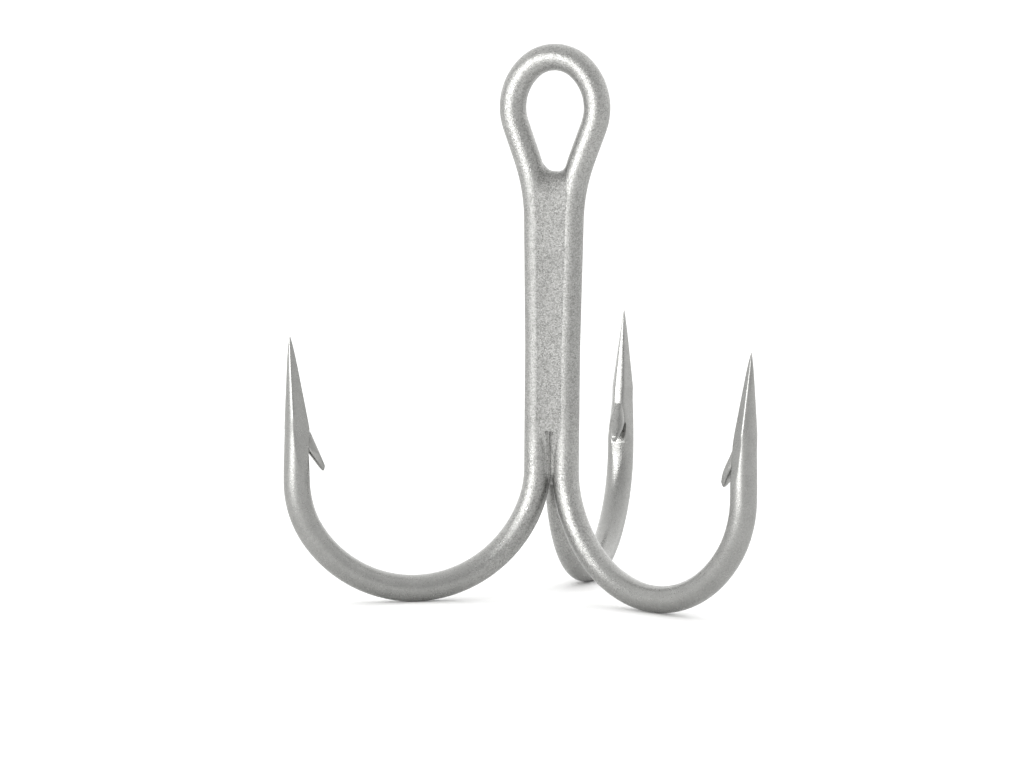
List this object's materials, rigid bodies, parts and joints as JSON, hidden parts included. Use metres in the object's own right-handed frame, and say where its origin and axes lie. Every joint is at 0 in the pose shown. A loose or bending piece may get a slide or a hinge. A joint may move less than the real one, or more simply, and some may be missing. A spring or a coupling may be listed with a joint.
{
  "type": "treble hook",
  "caption": "Heavy-wire fishing hook with barbed points at equal angles round a brazed shank and a closed ring eye, satin grey plated.",
  "frame": {"origin": "centre that the crown of the eye is bent round, in the middle of the wire's thickness", "axes": "+Z along the shanks towards the top of the eye, +Y through the eye's hole towards the third hook, +X across the eye"},
  "size_m": [0.045, 0.0393, 0.052],
  "materials": {
    "plated_wire": "satin grey tin plating over carbon steel wire, fine sparkling grain",
    "plated_braze": "brazing alloy under the same satin grey plating"
  },
  "bodies": {
    "root": {"twin_hook_wire": "plated_wire", "third_hook_wire": "plated_wire", "front_braze_seam": "plated_braze", "left_rear_braze_seam": "plated_braze", "right_rear_braze_seam": "plated_braze", "core_braze": "plated_braze"}
  },
  "joints": []
}
